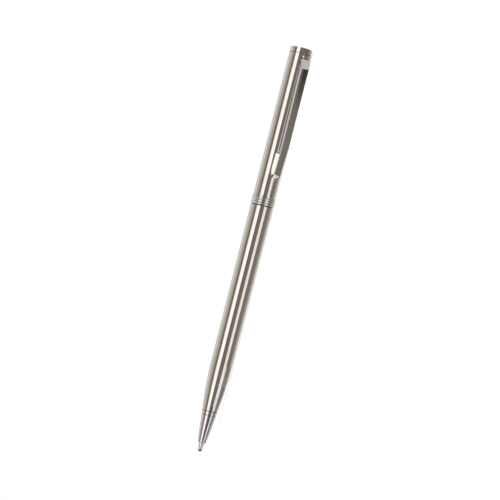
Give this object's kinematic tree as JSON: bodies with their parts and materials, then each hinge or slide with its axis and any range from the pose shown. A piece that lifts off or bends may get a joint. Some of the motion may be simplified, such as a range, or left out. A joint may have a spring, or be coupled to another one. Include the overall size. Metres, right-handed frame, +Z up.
{
  "type": "ballpoint pen",
  "caption": "Slim all-metal twist-action ballpoint pen lying on its side with its point out: satin barrels, ridged centre band, nose cone, finial and spring clip.",
  "frame": {"origin": "on the surface that the pen lies on, under the middle of its bounding box", "axes": "+X along the pen from the writing end to the finial, +Z up, the clip on the -Y side"},
  "size_m": [0.134, 0.0086, 0.0076],
  "materials": {
    "satin_steel": "satin nickel plate with a fine grain",
    "chrome_trim": "polished chrome plate",
    "brass": "turned, unplated",
    "bare_steel": "turned, unplated",
    "nickel_silver": "bright turned",
    "carbide": "lapped",
    "white_nylon": "matt moulded",
    "dark_plastic": "moulded",
    "black_rubber": "matt"
  },
  "bodies": {
    "lower_half": {"lower_barrel": "satin_steel", "nose_cone": "chrome_trim", "socket_liner": "brass"},
    "mechanism_core": {"guide_tube": "brass", "ferrule_ring": "black_rubber", "thrust_washer": "white_nylon", "drag_ring": "white_nylon", "retaining_ring": "bare_steel"},
    "cap": {"upper_barrel": "satin_steel", "centre_band": "chrome_trim", "drive_sleeve": "bare_steel", "sleeve_spacer": "brass", "clip_plug": "brass", "finial": "chrome_trim"},
    "clip": {"clip": "chrome_trim"},
    "refill": {"refill_point": "nickel_silver", "refill_tube": "brass", "refill_head": "dark_plastic", "plunger": "brass", "drive_pin": "bare_steel"},
    "ball": {"writing_ball": "carbide"}
  },
  "joints": [
    {"name": "barrel_pull", "type": "slide", "parent": "lower_half", "child": "mechanism_core", "axis": [1, 0, 0], "range_m": [0, 0.085]},
    {"name": "twist", "type": "hinge", "parent": "mechanism_core", "child": "cap", "pos_m": [0.02, 0.00051, 0.0038], "axis": [1, 0, 0], "range_deg": [0, 180]},
    {"name": "refill_slide", "type": "slide", "parent": "mechanism_core", "child": "refill", "axis": [1, 0, 0], "range_m": [0, 0.005]},
    {"name": "clip_flex", "type": "hinge", "parent": "cap", "child": "clip", "pos_m": [0.0634, -0.00226, 0.002], "axis": [0, -0.5441, 0.839], "range_deg": [0, 5], "stiffness_Nm_per_rad": 1.5, "springref_deg": -0.57},
    {"name": "ball_roll", "type": "hinge", "parent": "refill", "child": "ball", "pos_m": [-0.0665, 0.00051, 0.0038], "axis": [0, 0.5441, -0.839], "continuous": true}
  ],
  "couplings": [
    {"joint": "refill_slide", "follows": "twist", "m_per_rad": 0.0015915}
  ]
}
